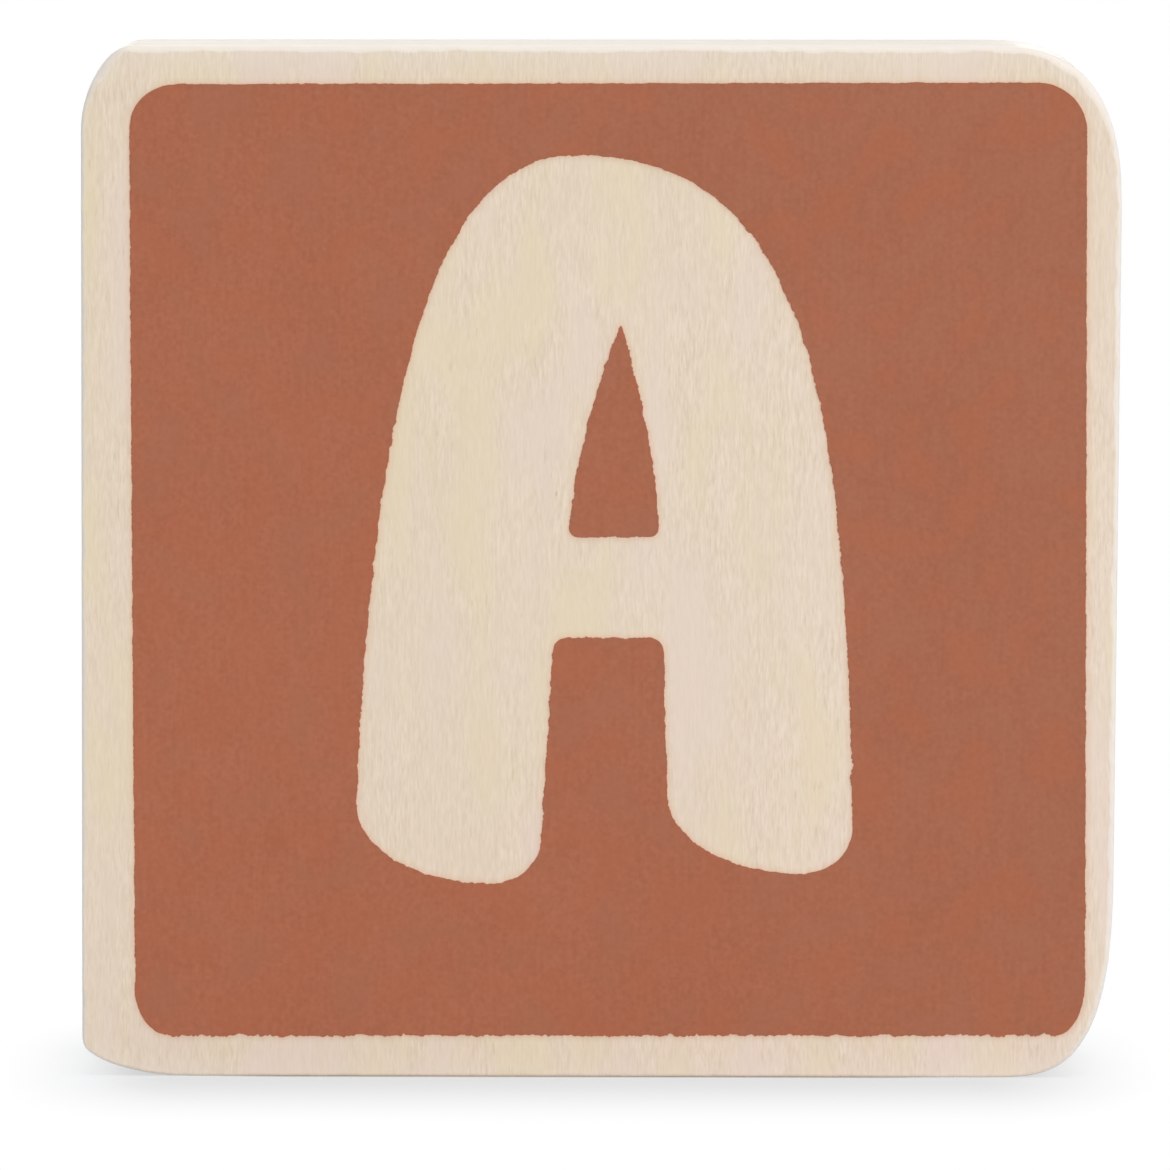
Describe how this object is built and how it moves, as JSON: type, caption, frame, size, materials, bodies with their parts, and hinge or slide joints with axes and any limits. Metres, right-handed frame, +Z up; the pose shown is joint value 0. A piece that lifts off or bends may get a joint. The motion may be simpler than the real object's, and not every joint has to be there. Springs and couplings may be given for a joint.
{
  "type": "letter tile",
  "caption": "Square plywood toy tile with rounded corners that stands on its edge, with a terracotta panel printed on the front and a capital letter left bare in it.",
  "frame": {"origin": "on the standing surface, under the middle of the block", "axes": "+X across the front to the right, +Y from the printed front to the bare back, +Z up"},
  "size_m": [0.0702, 0.0151, 0.0698],
  "materials": {
    "face_wood": "fine sanded, unfinished, upright grain with short pores",
    "long_wood": "sanded ply edge, grain upright",
    "cross_wood": "sanded ply edge, grain across",
    "glue": "cured glue line",
    "ink": "matte screen-printed ink"
  },
  "bodies": {
    "root": {"front_veneer": "face_wood", "crossband_1": "cross_wood", "long_ply_1": "long_wood", "crossband_2": "cross_wood", "long_ply_2": "long_wood", "crossband_3": "cross_wood", "long_ply_3": "long_wood", "crossband_4": "cross_wood", "long_ply_4": "long_wood", "crossband_5": "cross_wood", "back_veneer": "face_wood", "glue_films": "glue", "ink_panel": "ink", "ink_eye": "ink"}
  },
  "joints": []
}
